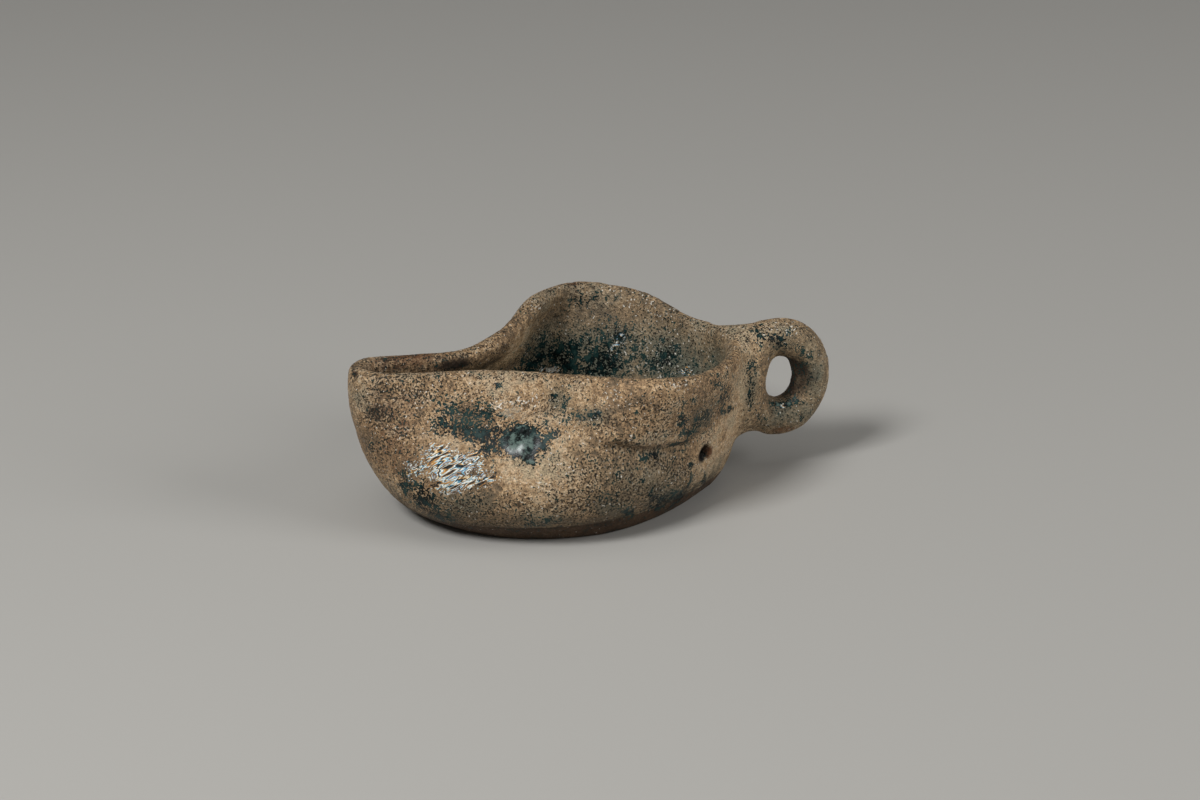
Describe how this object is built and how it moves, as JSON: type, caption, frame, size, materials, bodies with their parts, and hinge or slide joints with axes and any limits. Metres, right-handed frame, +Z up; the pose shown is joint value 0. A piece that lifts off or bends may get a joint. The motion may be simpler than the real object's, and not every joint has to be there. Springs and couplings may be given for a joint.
{
  "type": "glazed ceramic oil lamp",
  "caption": "Small open oil lamp of coarse buff clay with worn dark teal glaze: a thrown bowl pinched into a long narrow wick spout, with an upright ring handle opposite.",
  "frame": {"origin": "on the flat foot, where the wheel's turning axis of the bowl meets the table", "axes": "+X from the bowl's axis towards the ring handle, so the wick spout points along -X; +Z up out of the open bowl; +Y across the lamp, away from the side with the small pit"},
  "size_m": [0.114, 0.0668, 0.0394],
  "materials": {
    "glazed clay": "satin"
  },
  "bodies": {
    "root": {"lamp": "glazed clay"}
  },
  "joints": []
}
